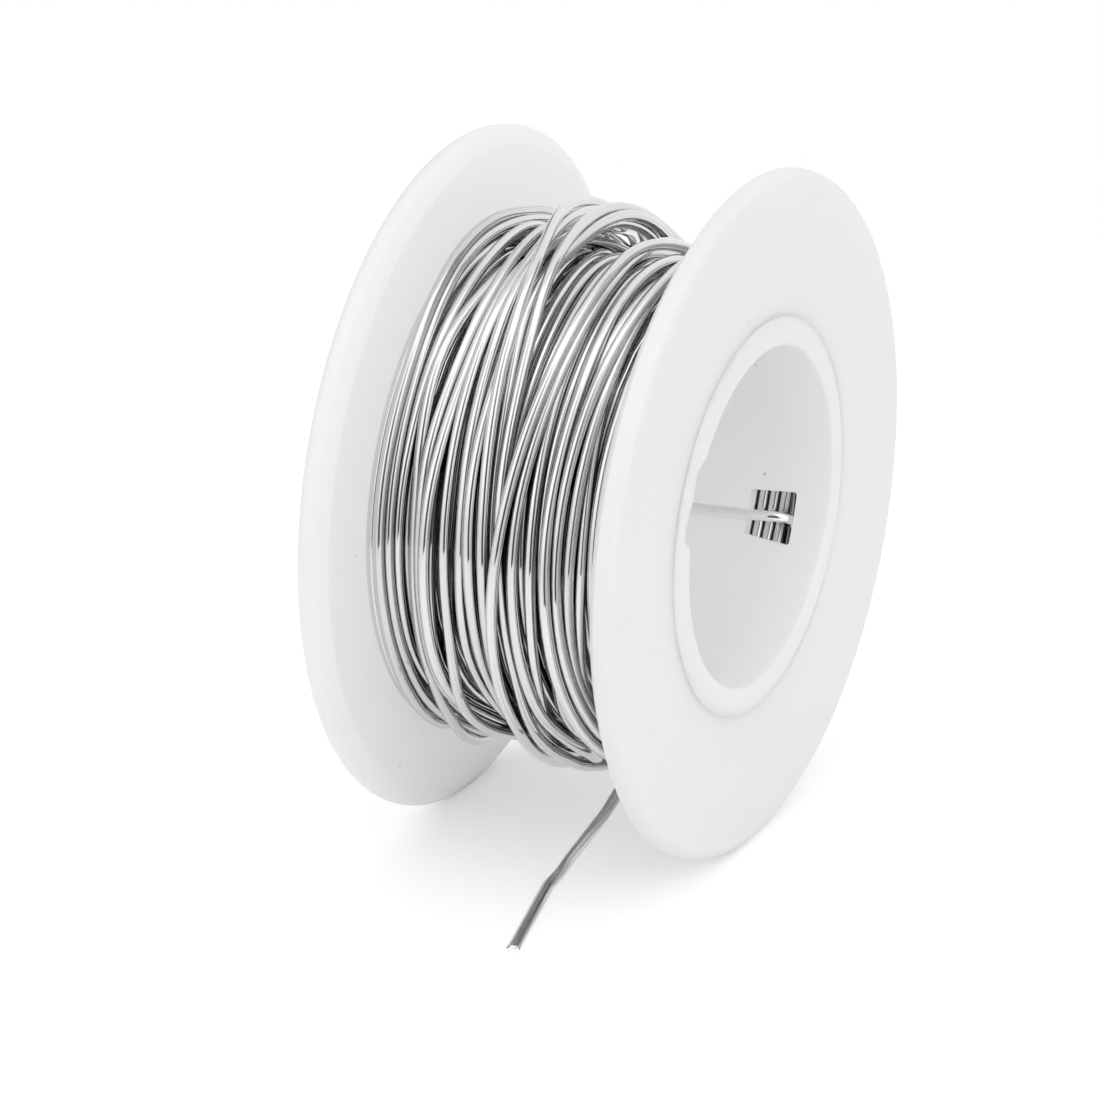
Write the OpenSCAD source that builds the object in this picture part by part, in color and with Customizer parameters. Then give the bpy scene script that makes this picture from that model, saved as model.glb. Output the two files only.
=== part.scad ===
// Solder wire on a plastic spool: a hub tube, two flanges and one length of wire.
// Millimetres. X runs along the bore, +X towards the front flange, and Z is up.
// The origin is on the bench, midway between the flanges: the spool stands on its two rims.

/* [Flanges] */
// Outside diameter of each flange
flange_d = 48; // [44:0.5:56]
// Thickness of each flange
flange_t = 2.1; // [2:0.1:3]
// Rounding of the outer face's edge at the rim
rim_round = 0.9; // [0.4:0.1:1]
// Height of the bevel at the rim's inner edge, along the radius
bevel_h = 1.2; // [0.5:0.1:2]
// Depth of that bevel, along the bore
bevel_x = 0.8; // [0.3:0.1:0.9]
// Width of the flat land between the rim's rounding and the dish
land_w = 2.4; // [1:0.1:3]
// Depth of the dish in the outer face
dish_depth = 0.45; // [0.2:0.05:0.6]
// Width of the groove between the hub tube's lip and the dish
groove_w = 0.5; // [0.3:0.1:1]

/* [Hub tube] */
// Diameter of the bore, which takes a spindle
bore_d = 23.8; // [20:0.2:24]
// Thickness of the tube's wall
hub_wall = 1; // [0.8:0.1:1.2]
// Width between the flanges, which the wire fills
winding_w = 19.4; // [14:0.2:26]
// Reach of the lip that is formed out over each flange
lip_reach = 0.8; // [0.5:0.1:1.2]
// Thickness of that lip
lip_t = 0.7; // [0.6:0.1:0.9]
// Rounding of the lip's outer edge
lip_round = 0.3; // [0.2:0.1:0.4]
// Rounding of the bore's mouth
mouth_round = 0.4; // [0.3:0.1:0.6]
// Radial clearance between the tube and each flange
fit_gap = 0.03; // [0.01:0.01:0.06]

/* [Notch in the front lip] */
// Width of the notch
notch_w = 7; // [3:0.5:9]
// Depth of the notch into the wall, along the radius
notch_depth = 0.45; // [0.2:0.05:0.7]
// Depth of the notch, along the bore
notch_x = 1.4; // [0.8:0.1:1.6]
// Angle of the notch above the level of the axle, at the front of the spool
notch_angle = 22; // [0:1:60]

/* [Window] */
// Length of the window in the hub tube, along the bore
window_len = 3.5; // [3:0.1:5]
// Height of the window at its end towards the back flange
window_h_back = 3.2; // [2.6:0.1:4]
// Height of the window at its end towards the front flange
window_h_front = 3.8; // [2.6:0.1:4.5]
// Strip of tube between the window and the front flange
window_edge = 0.4; // [0.2:0.1:0.6]
// Angle of the window below the level of the axle, at the back of the spool
window_angle = 22.3; // [18:0.1:26]

/* [Wire] */
// Diameter of the solder wire
wire_d = 0.8; // [0.6:0.1:0.9]
// Outside diameter of the winding
wound_d = 36; // [30:0.5:37]
// Gap between the winding and what it lies against
wire_gap = 0.05; // [0.02:0.01:0.1]

/* [Hidden] */

$fn = 96;
corner_fn = 24;
tube_sides = 8;
dish_steps = 8;
eps = 0.01;

flange_r = flange_d / 2;
bore_r = bore_d / 2;
hub_r = bore_r + hub_wall;
lip_r = hub_r + lip_reach;
hole_r = hub_r + fit_gap;
groove_r = lip_r + groove_w;
land_r = flange_r - rim_round - land_w;
inner_face_x = winding_w / 2;
outer_face_x = inner_face_x + flange_t;
axle_z = flange_r;
wire_r = wire_d / 2;

// Route of the wire's outer end: round the underside of the winding, off it and down to the
// bench, and along the bench towards the front.
outer_route = [
    [4.9, 6.6, 6.80], [4.8, 4.6, 6.15], [4.7, 2.6, 5.75], [4.6, 0.6, 5.55], [4.5, -1.4, 5.50],
    [4.35, -3.2, 5.45], [4.2, -4.9, 5.20], [4.1, -6.3, 4.70], [4.0, -7.4, 4.10], [3.9, -8.4, 3.60],
    [3.65, -9.5, 3.00], [3.3, -10.6, 2.25], [2.9, -11.8, 1.45], [2.6, -13.0, 0.75], [2.45, -14.3, 0.42],
    [2.7, -16.0, 0.40], [3.1, -17.7, 0.40], [3.5, -19.4, 0.40], [3.9, -21.2, 0.40], [4.35, -23.0, 0.40],
    [4.75, -24.6, 0.40],
];

// Route of the wire's inner end: in through the window from under the first turn, as far as the
// wall of the bore, so that the bore stays clear for a spindle.
inner_route = [
    [8.6, 11.90, 19.40], [8.6, 11.65, 19.40], [8.6, 11.40, 19.40], [8.6, 11.20, 19.40],
];

// Turns what is drawn round Z into place round the bore's axis.
module on_axle() {
    translate([0, 0, axle_z]) rotate([0, 90, 0]) children();
}

// What is cut away to round off a corner of a turned profile. side is [1 or -1, 1 or -1] and
// points from the corner into the material.
module corner_cut(corner, radius, side) {
    translate(corner) scale(side) difference() {
        translate([-eps, -eps]) square(radius + eps);
        translate([radius, radius]) circle(radius, $fn = corner_fn);
    }
}

// Outer face of a flange from the land in to the groove, as a shallow dish.
function dish_line() = [
    for (i = [dish_steps:-1:0])
        let(share = i / dish_steps)
            [groove_r + (land_r - groove_r) * share, flange_t - dish_depth * (1 + cos(180 * share)) / 2]
];

// Half section of a flange: radius across, thickness up from the inner face at zero.
module flange_section() {
    inner_line = [
        [hole_r, 0],
        [flange_r - bevel_h, 0],
        [flange_r, bevel_x],
        [flange_r, flange_t],
    ];
    seat_line = [
        [groove_r, flange_t - lip_t],
        [hole_r, flange_t - lip_t],
    ];
    difference() {
        polygon(concat(inner_line, dish_line(), seat_line));
        corner_cut([flange_r, flange_t], rim_round, [-1, -1]);
    }
}

// A flange with its inner face at zero and its outer face up.
module flange() {
    rotate_extrude() flange_section();
}

module front_flange() {
    color("whitesmoke") translate([inner_face_x, 0, 0]) on_axle() flange();
}

module back_flange() {
    color("whitesmoke") mirror([1, 0, 0]) translate([inner_face_x, 0, 0]) on_axle() flange();
}

// Half section of the hub tube with a lip at each end: radius across, length up.
module hub_section() {
    length = 2 * outer_face_x;
    difference() {
        union() {
            translate([bore_r, 0]) square([hub_wall, length]);
            translate([bore_r, 0]) square([hub_wall + lip_reach, lip_t]);
            translate([bore_r, length - lip_t]) square([hub_wall + lip_reach, lip_t]);
        }
        corner_cut([bore_r, 0], mouth_round, [1, 1]);
        corner_cut([bore_r, length], mouth_round, [1, -1]);
        corner_cut([lip_r, 0], lip_round, [-1, 1]);
        corner_cut([lip_r, length], lip_round, [-1, -1]);
    }
}

// The window's outline: a little taller towards the front flange.
module window_outline() {
    front_x = inner_face_x - window_edge;
    back_x = front_x - window_len;
    polygon([
        [back_x, -window_h_back / 2],
        [front_x, -window_h_front / 2],
        [front_x, window_h_front / 2],
        [back_x, window_h_back / 2],
    ]);
}

// The notch's block, which stands on the bore's wall at the front of the spool.
module notch_block() {
    translate([0, 0, axle_z]) rotate([-notch_angle, 0, 0])
        translate([outer_face_x - notch_x, -bore_r - notch_depth, -notch_w / 2])
            cube([notch_x + 1, bore_r, notch_w]);
}

module hub_tube() {
    color("white") difference() {
        translate([-outer_face_x, 0, 0]) on_axle() rotate_extrude() hub_section();
        translate([0, 0, axle_z]) rotate([-window_angle, 0, 0]) rotate([-90, 0, 0])
            translate([0, 0, bore_r / 2]) linear_extrude(bore_r) window_outline();
        notch_block();
    }
}

// The wound wire as one solid of its outer shape, with the outermost turns as ridges.
module wire_winding() {
    width = winding_w - 2 * wire_gap;
    turns = floor(width / wire_d);
    in_r = hub_r + wire_gap;
    crest_r = wound_d / 2 - wire_r;
    color("silver") translate([-width / 2, 0, 0]) on_axle() rotate_extrude() {
        translate([in_r, 0]) square([crest_r - in_r, width]);
        for (i = [0:turns - 1])
            translate([crest_r, width / 2 + (i - (turns - 1) / 2) * wire_d])
                circle(wire_r - eps, $fn = corner_fn);
    }
}

function unit(v) = v / norm(v);

// Direction of a route at point i.
function heading(route, i) = unit(route[min(i + 1, len(route) - 1)] - route[max(i - 1, 0)]);

// Points around a route at point i, square to it. across is never along the route.
function ring(route, i, across) =
    let(ahead = heading(route, i), up = unit(cross(across, ahead)), side = cross(ahead, up))
        [for (k = [0:tube_sides - 1])
            let(a = 360 * k / tube_sides) route[i] + wire_r * (cos(a) * up + sin(a) * side)];

// Round wire swept along a route, with a ring of points at each point of the route.
module wire_along(route, across) {
    last = len(route) - 1;
    polyhedron(
        points = [for (i = [0:last]) for (p = ring(route, i, across)) p],
        faces = concat(
            [[for (k = [0:tube_sides - 1]) k]],
            [for (i = [0:last - 1]) for (k = [0:tube_sides - 1])
                let(next = (k + 1) % tube_sides, a = i * tube_sides, b = a + tube_sides)
                    [a + k, b + k, b + next, a + next]],
            [[for (k = [tube_sides - 1:-1:0]) last * tube_sides + k]]
        )
    );
}

module wire_outer_tail() {
    color("silver") wire_along(outer_route, [1, 0, 0]);
}

module wire_inner_tail() {
    color("silver") wire_along(inner_route, [0, 0, 1]);
}

hub_tube();
front_flange();
back_flange();
wire_winding();
wire_outer_tail();
wire_inner_tail();
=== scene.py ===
"""A reel of solder wire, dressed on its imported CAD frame: one wound wire on a white spool."""

import math

import bmesh
import bpy
import numpy as np
from mathutils import Matrix, Vector
from mathutils.kdtree import KDTree


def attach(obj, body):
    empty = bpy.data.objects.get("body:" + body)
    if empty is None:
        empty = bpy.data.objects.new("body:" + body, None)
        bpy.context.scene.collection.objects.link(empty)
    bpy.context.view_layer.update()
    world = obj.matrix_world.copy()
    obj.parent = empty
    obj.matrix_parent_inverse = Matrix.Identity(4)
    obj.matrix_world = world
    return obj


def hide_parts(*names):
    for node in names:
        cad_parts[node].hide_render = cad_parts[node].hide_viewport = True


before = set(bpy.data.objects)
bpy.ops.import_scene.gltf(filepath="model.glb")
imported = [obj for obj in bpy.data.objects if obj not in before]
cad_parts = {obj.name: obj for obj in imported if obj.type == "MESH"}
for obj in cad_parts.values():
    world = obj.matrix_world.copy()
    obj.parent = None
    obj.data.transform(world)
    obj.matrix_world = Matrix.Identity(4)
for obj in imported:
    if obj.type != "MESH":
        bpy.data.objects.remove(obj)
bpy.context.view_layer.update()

MM = 0.001
AXLE = 24.0  # height of the bore's axis over the bench, mm

# ---------------------------------------------------------------- camera

AZIMUTH, ELEVATION = math.radians(25.5306), math.radians(21.3886)
DISTANCE = 0.52928
IMAGE = 1100
FOCAL_PX = 7660.088
AXIS_PX = (605.79, 490.02)  # the reel's middle in the picture
SENSOR = 36.0


def add_camera():
    """The camera at the photograph's angle, distance and framing."""
    ca, sa = math.cos(AZIMUTH), math.sin(AZIMUTH)
    ce, se = math.cos(ELEVATION), math.sin(ELEVATION)
    back = Vector((sa * ce, -ca * ce, se))
    right = Vector((ca, sa, 0))
    up = back.cross(right)
    data = bpy.data.cameras.new("camera")
    data.sensor_width = SENSOR
    data.sensor_fit = "HORIZONTAL"
    data.lens = FOCAL_PX / IMAGE * SENSOR
    data.shift_x = (IMAGE / 2 - AXIS_PX[0]) / IMAGE
    data.shift_y = (AXIS_PX[1] - IMAGE / 2) / IMAGE
    data.clip_start, data.clip_end = 0.01, 100
    camera = bpy.data.objects.new("camera", data)
    bpy.context.scene.collection.objects.link(camera)
    place = Vector((0, 0, AXLE * MM)) + DISTANCE * back
    camera.matrix_world = Matrix(
        (
            (right.x, up.x, back.x, place.x),
            (right.y, up.y, back.y, place.y),
            (right.z, up.z, back.z, place.z),
            (0, 0, 0, 1),
        )
    )
    bpy.context.scene.camera = camera


add_camera()

# ---------------------------------------------------------------- the wire's route, in mm

WIRE = 0.8
TOUCH = 0.78  # distance at which two strands rest on each other
FIRST_R = 13.3  # centre of the first layer
BINS = 96  # steps of the route in a turn
SPACING = 0.4  # steps of the two free ends
START_DEG = 202.5  # where the first turn starts, at the window
HIDDEN_TURNS = (24, 23, 24, 23)  # turns in each layer under the loose ones
FLANGE_X = 9.3  # centre of a strand that lies against a flange
PITCH = 2 * FLANGE_X / (HIDDEN_TURNS[0] - 1)
# The start of the first two turns: (turn, place along the bore).
FIRST_TURNS = (
    (START_DEG / 360, 9.0), (206 / 360, 9.1), (225 / 360, 9.2), (262 / 360, FLANGE_X),
    (1 + 184 / 360, 9.14), (1 + 225 / 360, 9.1),
)
# Under the loose turns each turn steps over to its next place between these parts of a turn.
# Those of the first layer, which the window shows, make an early part of that step.
STEP_FROM, STEP_TO = 194 / 360, 266 / 360
EARLY_FROM, EARLY_TO, EARLY_STEP = 176 / 360, 192 / 360, 0.58
STEP_BLUR = (1.5, 5)  # width and reach in steps of the route
LEAD_OVER = 0.2  # the last part of a turn before the loose ones, which leads over to them
SEEN_TURNS = 5  # turns that the window shows
HIDDEN_STRIDE = 3  # the unseen turns keep every third step

# The loose turns over them, in the order in which they were wound: the place along the bore,
# in 0.01 mm, at every 15 degrees from 75 degrees under the front of the spool. Two lines a turn.
LAID_A_MM, LAID_A_TURN = 100, 24
LAID_EARLY = 75 / 360
LAID = (
    -667, -868, -924, -928, -928, -928, -927, -924, -921, -920, -924, -928,
    -927, -914, -903, -868, -814, -769, -754, -753, -754, -757, -758, -758,
    -711, -752, -835, -841, -830, -832, -819, -794, -797, -813, -839, -857,
    -863, -802, -823, -903, -926, -913, -849, -744, -661, -638, -648, -649,
    -612, -625, -668, -707, -711, -714, -717, -717, -722, -737, -758, -744,
    -616, -596, -615, -608, -596, -591, -591, -588, -567, -572, -636, -734,
    -832, -869, -878, -883, -885, -883, -879, -873, -865, -857, -834, -799,
    -790, -818, -846, -847, -852, -881, -924, -928, -928, -928, -928, -926,
    -922, -928, -928, -928, -928, -928, -928, -928, -928, -928, -928, -928,
    -927, -897, -858, -804, -727, -673, -662, -666, -687, -711, -715, -704,
    -671, -693, -753, -778, -772, -767, -755, -734, -728, -732, -735, -734,
    -732, -697, -700, -683, -581, -433, -281, -153, -73, -54, -54, -54,
    -47, -46, -59, -73, -87, -96, -99, -101, -104, -115, -139, -180,
    -251, -305, -309, -285, -244, -192, -136, -79, -24, 19, 40, 36,
    42, 43, 31, 20, 7, -5, -10, -12, -18, -34, -58, -87,
    -111, -123, -121, -67, 9, 41, 45, 49, 51, 53, 52, 11,
    -102, -145, -161, -174, -185, -194, -202, -211, -220, -230, -259, -311,
    -367, -395, -389, -397, -419, -429, -429, -430, -437, -379, -233, -61,
    92, 126, 115, 103, 92, 83, 76, 69, 59, 50, 34, 6,
    -17, -27, -32, -48, -73, -115, -164, -187, -175, -155, -144, -145,
    -189, -226, -241, -256, -270, -284, -297, -309, -320, -330, -365, -409,
    -397, -273, -203, -185, -73, 62, 169, 215, 209, 195, 187, 173,
    187, 199, 185, 173, 162, 152, 144, 137, 130, 124, 110, 91,
    71, 72, 67, 132, 247, 288, 273, 266, 279, 278, 239, 121,
    -49, -89, -102, -118, -136, -158, -189, -222, -254, -283, -310, -316,
    -316, -359, -343, -314, -334, -348, -346, -344, -346, -337, -313, -267,
    -263, -358, -471, -484, -451, -419, -396, -409, -414, -348, -242, -206,
    -182, -152, -143, -147, -165, -207, -265, -318, -354, -382, -398, -406,
    -420, -492, -588, -601, -573, -549, -536, -527, -524, -528, -549, -585,
    -590, -514, -473, -445, -333, -199, -71, 62, 209, 360, 505, 643,
    776, 889, 922, 926, 928, 926, 924, 924, 925, 927, 928, 928,
    927, 921, 918, 925, 928, 928, 928, 928, 928, 928, 925, 891,
    850, 836, 834, 833, 834, 839, 844, 845, 841, 837, 840, 847,
    846, 835, 819, 753, 665, 617, 604, 601, 612, 633, 647, 680,
    746, 753, 752, 753, 756, 758, 757, 756, 757, 759, 760, 761,
    760, 754, 748, 737, 715, 690, 662, 642, 624, 603, 596, 625,
    672, 673, 669, 668, 668, 668, 667, 668, 674, 679, 678, 673,
    672, 675, 670, 601, 516, 492, 511, 521, 518, 516, 516, 546,
    581, 529, 473, 490, 542, 581, 586, 566, 537, 514, 484, 448,
    422, 409, 406, 405, 404, 403, 402, 399, 381, 360, 355, 370,
    405, 365, 281, 265, 276, 277, 274, 277, 276, 264, 244, 208,
    175, 152, 142, 143, 145, 141, 132, 126, 131, 155, 197, 235,
    287, 264, 270, 322, 352, 367, 375, 377, 362, 342, 321, 297,
    266, 235, 209, 173, 98, 13, -78, -193, -333, -470, -569, -600,
    -603, -702, -802, -804, -803, -803, -799, -803, -814, -828, -848, -850,
    -811, -789, -781, -779, -780, -791, -812, -825, -824, -824, -845, -880,
    -887, -866, -846, -833, -833, -839, -838, -837, -842, -856, -873, -885,
    -884, -868, -864, -922, -928, -928, -928, -928, -928, -927, -880, -815,
    -685, -661, -671, -668, -655, -647, -648, -654, -664, -644, -591, -532,
    -483, -499, -534, -528, -509, -498, -491, -484, -495, -511, -508, -488,
    -480, -536, -588, -595, -590, -586, -580, -575, -567, -552, -534, -545,
    -611, -630, -584, -591, -622, -617, -585, -576, -598, -623, -611, -542,
    -430, -419, -508, -533, -533, -527, -511, -494, -484, -470, -455, -440,
    -423, -437, -465, -430, -368, -321, -279, -237, -236, -251, -238, -234,
    -297, -407, -457, -434, -416, -409, -409, -412, -405, -393, -389, -425,
    -523, -549, -470, -347, -178, -4, 177, 360, 530, 682, 800, 816,
    716, 763, 785, 787, 792, 798, 801, 802, 802, 802, 802, 803,
    805, 809, 814, 820, 822, 802, 764, 748, 771, 823, 877, 915,
    928, 926, 906, 898, 889, 885, 885, 886, 884, 883, 885, 888,
    891, 895, 896, 881, 858, 847, 844, 839, 833, 824, 819, 840,
    901, 926, 928, 928, 928, 928, 928, 928, 928, 928, 928, 928,
    928, 922, 914, 920, 914, 906, 895, 873, 820, 750, 711, 717,
    759, 810, 833, 840, 845, 846, 845, 844, 846, 847, 847, 845,
    846, 850, 858, 843, 828, 849, 900, 928, 928, 928, 928, 928,
    925, 889, 882, 881, 884, 888, 892, 893, 892, 892, 891, 889,
    874, 842, 819, 813, 799, 762, 702, 646, 579, 496, 414, 382,
    394, 396, 396, 411, 430, 446, 455, 452, 441, 447, 487, 525,
    535, 524, 498, 427, 332, 285, 266, 248, 257, 280, 292, 328,
    434, 496, 518, 507, 504, 513, 532, 549, 558, 559, 566, 575,
    580, 575, 560, 468, 343, 309, 337, 365, 385, 396, 395, 434,
    558, 562, 541, 512, 468, 439, 443, 467, 502, 549, 595, 629,
    646, 643, 631, 610, 590, 582, 582, 581, 584, 595, 603, 619,
    621, 565, 489, 449, 415, 385, 369, 372, 380, 377, 363, 344,
    328, 311, 298, 271, 220, 166, 115, 87, 88, 104, 120, 148,
    159, 101, 122, 192, 225, 232, 232, 221, 210, 204, 182, 148,
    130, 125, 124, 80, 15, -21, -39, -50, -59, -65, -58, 15,
    168, 194, 181, 167, 131, 119, 137, 174, 210, 233, 232, 204,
    170, 144, 116, 20, -122, -237, -282, -299, -304, -302, -292, -243,
    -203, -249, -310, -326, -303, -285, -285, -289, -301, -315, -322, -321,
    -264, -289, -411, -503, -545, -522, -455, -407, -400, -403, -389, -329,
    -240, -198, -197, -203, -190, -191, -202, -206, -207, -226, -268, -328,
    -384, -418, -419, -387, -341, -319, -311, -304, -311, -268, -148, -54,
    -52, -39, -20, -27, -37, -48, -66, -90, -119, -156, -169, -154,
    -128, -104, -91, -81, -79, -100, -140, -165, -160, -150, -150, -162,
    -149, -121, -98, -90, -88, -90, -103, -128, -156, -176, -239, -351,
    -439, -487, -490, -422, -293, -167, -52, 64, 188, 287, 330, 265,
    112, 6, 11, 39, 35, 21, 3, -17, -40, -73, -127, -177,
    -191, -170, -141, -23, 123, 155, 109, 71, 54, 45, 47, 8,
    -101, -89, -59, -47, -25, 16, 67, 123, 177, 212, 226, 232,
    276, 352, 413, 447, 460, 478, 499, 506, 503, 496,
)
# Where some of those turns stand off the ones under them: the turn in LAID, then the least
# radius of the wire's centre at each angle.
STANDING = (
    (
        13,
        (85, 16.0), (95, 18.0), (105, 18.4), (111, 18.5), (120, 18.4), (135, 18.0), (150, 16.0),
    ),
    (
        40,
        (62, 16.0), (76, 17.9), (90, 18.5), (104, 18.85), (111, 18.9), (120, 18.85), (135, 18.5),
        (150, 16.0),
    ),
    (
        41,
        (70, 16.0), (85, 18.1), (95, 18.6), (105, 18.85), (111, 18.95), (120, 18.85), (130, 18.6),
        (145, 18.1), (160, 16.0),
    ),
    (
        42,
        (62, 16.0), (76, 18.3), (90, 19.0), (104, 19.35), (111, 19.42), (120, 19.4), (135, 19.0),
        (150, 18.4), (165, 16.0),
    ),
    (
        43,
        (70, 16.0), (85, 18.6), (95, 19.1), (104, 19.4), (111, 19.46), (122, 19.4), (131, 19.2),
        (145, 18.7), (160, 16.0),
    ),
)
# The last turn stays up under the spool, where its end leaves the winding: the angle at which
# it ends, the angle from which it is held up, and over how much it rises from one radius.
LEAVES_DEG = 249
HELD_DEG, HELD_R = 200, 17.6
RISE_DEG, RISE = 45, 0.8

# The outer end: off the underside of the winding, down to the bench and along it.
OUTER_ROUTE = (
    (4.9, 6.6, 6.80), (4.8, 4.6, 6.15), (4.7, 2.6, 5.75), (4.6, 0.6, 5.55), (4.5, -1.4, 5.50),
    (4.35, -3.2, 5.45), (4.2, -4.9, 5.20), (4.1, -6.3, 4.70), (4.0, -7.4, 4.10), (3.9, -8.4, 3.60),
    (3.65, -9.5, 3.00), (3.3, -10.6, 2.25), (2.9, -11.8, 1.45), (2.65, -13.0, 0.75),
    (2.52, -14.2, 0.45), (2.80, -15.7, 0.40), (3.2, -17.4, 0.40), (3.62, -19.2, 0.40),
    (4.05, -21.1, 0.40), (4.5, -23.0, 0.40), (4.95, -24.9, 0.40),
)
# The inner end: across the bore from its tip, then out through the window.
INNER_ROUTE = (
    (-7.0, 10.30, 18.86), (-5.5, 10.12, 19.02), (-3.9, 9.96, 19.18), (-2.2, 9.84, 19.32),
    (-0.5, 9.80, 19.42), (1.2, 9.86, 19.47), (2.8, 10.0, 19.50), (4.2, 10.2, 19.50),
    (5.4, 10.4, 19.48), (6.3, 10.6, 19.46), (7.0, 10.78, 19.45), (7.6, 10.95, 19.43),
    (8.1, 11.15, 19.40), (8.5, 11.42, 19.30), (8.85, 11.75, 19.05), (9.05, 11.95, 18.60),
)

# How stiff the wire is: blurs as (width, reach) in steps of the route, the steps that are
# looked back, the rounds in which a taut line is found, and how a lift over a strand fades.
KINK_BLUR, STIFF_BLUR = (1, 3), (2.2, 6)
LOOK_BACK = 10
PULL_ROUNDS = 300
LIFT_STEPS, LIFT_FADE = 3, 0.12


def hidden_knots():
    """(turn, x) of the layers underneath: turns side by side that step over beside the window."""
    knots = list(FIRST_TURNS)
    turn, x, way = 0, FLANGE_X, -1
    for layer, count in enumerate(HIDDEN_TURNS):
        for i in range(count):
            if turn:
                knots.append((turn + STEP_TO, x))
                if layer == 0:
                    knots.append((turn + 1 + EARLY_FROM, x))
                    knots.append((turn + 1 + EARLY_TO, x - EARLY_STEP))
                else:
                    knots.append((turn + 1 + STEP_FROM, x))
            turn += 1
            if i < count - 1:
                x += way * PITCH
        # the next layer lies in the grooves of this one
        x += (-way if count == max(HIDDEN_TURNS) else way) * PITCH / 2
        way = -way
    return np.array(sorted(knots))


def blurred(values, width, reach):
    """Values blurred along the route, with the end values held."""
    weights = np.exp(-0.5 * (np.arange(-reach, reach + 1) / width) ** 2)
    padded = np.pad(values, reach, mode="edge")
    return np.convolve(padded, weights / weights.sum(), "valid")


def between(a, b, c, d, t):
    """A smooth curve through four values in turn, at the share t of the way from b to c."""
    return 0.5 * (
        2 * b + (c - a) * t + (2 * a - 5 * b + 4 * c - d) * t**2 + (3 * b - a - 3 * c + d) * t**3
    )


def finer(values, steps):
    """A smooth curve through evenly spaced values, with steps points to each space."""
    padded = np.concatenate([[2 * values[0] - values[1]], values, [2 * values[-1] - values[-2]]])
    a, b, c, d = (v[:, None] for v in (padded[:-3], padded[1:-2], padded[2:-1], padded[3:]))
    curve = between(a, b, c, d, (np.arange(steps) / steps)[None, :])
    return np.append(curve.ravel(), values[-1])


def spline(points, spacing):
    """Points at about that spacing on a smooth curve through the given ones."""
    points = np.array(points, float)
    padded = np.vstack([2 * points[0] - points[1], points, 2 * points[-1] - points[-2]])
    out = []
    for i in range(len(points) - 1):
        count = max(1, int(round(np.linalg.norm(points[i + 1] - points[i]) / spacing)))
        out += [between(*padded[i : i + 4], t) for t in np.arange(count) / count]
    out.append(points[-1])
    return np.array(out)


def places_along():
    """Place along the bore at every step of the route, and how many steps are hidden turns."""
    loose = np.array(LAID) / LAID_A_MM
    first_loose = sum(HIDDEN_TURNS) + 1 - LAID_EARLY
    count = int(round((first_loose - START_DEG / 360) * BINS))
    turns = START_DEG / 360 + np.arange(count) / BINS
    knots = hidden_knots()
    knots = knots[knots[:, 0] < first_loose - LEAD_OVER]
    knots = np.append(knots, [[first_loose, loose[0]]], axis=0)
    hidden = blurred(np.interp(turns, knots[:, 0], knots[:, 1]), *STEP_BLUR)
    return np.concatenate([hidden, finer(loose, BINS // LAID_A_TURN)]), count


def eased(before, taut, low):
    """A taut line with the wire's stiffness: its kinks rounded off, still on what is under it."""
    known = before[-LOOK_BACK:] if len(before) else taut[:1]
    known = np.concatenate([np.full(LOOK_BACK - len(known), known[0]), known])
    line = blurred(np.concatenate([known, taut, np.full(LOOK_BACK, taut[-1])]), *KINK_BLUR)
    line = blurred(line, *STIFF_BLUR)
    here = slice(LOOK_BACK, LOOK_BACK + len(low))
    lift = np.zeros(len(line))
    lift[here] = np.maximum(low - line[here], 0)
    spread = lift.copy()
    for step in range(1, LIFT_STEPS + 1):
        share = 1 - LIFT_FADE * step
        spread[step:] = np.maximum(spread[step:], lift[:-step] * share)
        spread[:-step] = np.maximum(spread[:-step], lift[step:] * share)
    return (line + blurred(spread, *STIFF_BLUR))[here]


def laid(x, floor):
    """Radius at every step: the wire is pulled tight over whatever was wound before it."""
    radius = np.zeros(len(x))
    window = BINS // 4
    sag = math.cos(2 * math.pi / BINS)
    done = 0
    while done < len(x):
        steps = np.arange(done, min(done + 2 * window, len(x)))
        low = floor[steps].copy()
        for back in range(1, steps[-1] // BINS + 1):
            under = steps - back * BINS
            known = (under >= 0) & (under < done)
            if not known.any():
                continue
            aside = np.abs(x[steps[known]] - x[under[known]])
            top = radius[under[known]] + np.sqrt(np.maximum(TOUCH**2 - aside**2, 0))
            low[known] = np.maximum(low[known], np.where(aside < TOUCH, top, 0))
        taut = low.copy()
        before = radius[done - 1] if done else taut[0]
        for _ in range(PULL_ROUNDS):
            ends = np.concatenate([[before], taut, [taut[-1]]])
            taut = np.maximum(low, 0.5 * (ends[:-2] + ends[2:]) * sag)
        radius[done : done + window] = eased(radius[:done], taut, low)[:window]
        done += window
    return radius


def least_radius(count):
    """The hub under the first layer, and the places where a turn stands off those under it."""
    floor = np.full(count, FIRST_R)
    turn = START_DEG / 360 + np.arange(count) / BINS - sum(HIDDEN_TURNS) - 1
    for row, *spots in STANDING:
        degrees = (turn - row) * 360
        at, high = zip(*spots)
        floor = np.maximum(floor, np.interp(degrees, at, high, left=FIRST_R, right=FIRST_R))
    down = LEAVES_DEG + (np.arange(count) - count + 1) * 360 / BINS
    near = down > HELD_DEG
    floor[near] = HELD_R + RISE * np.clip((down[near] - HELD_DEG) / RISE_DEG, 0, 1)
    return floor


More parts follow.
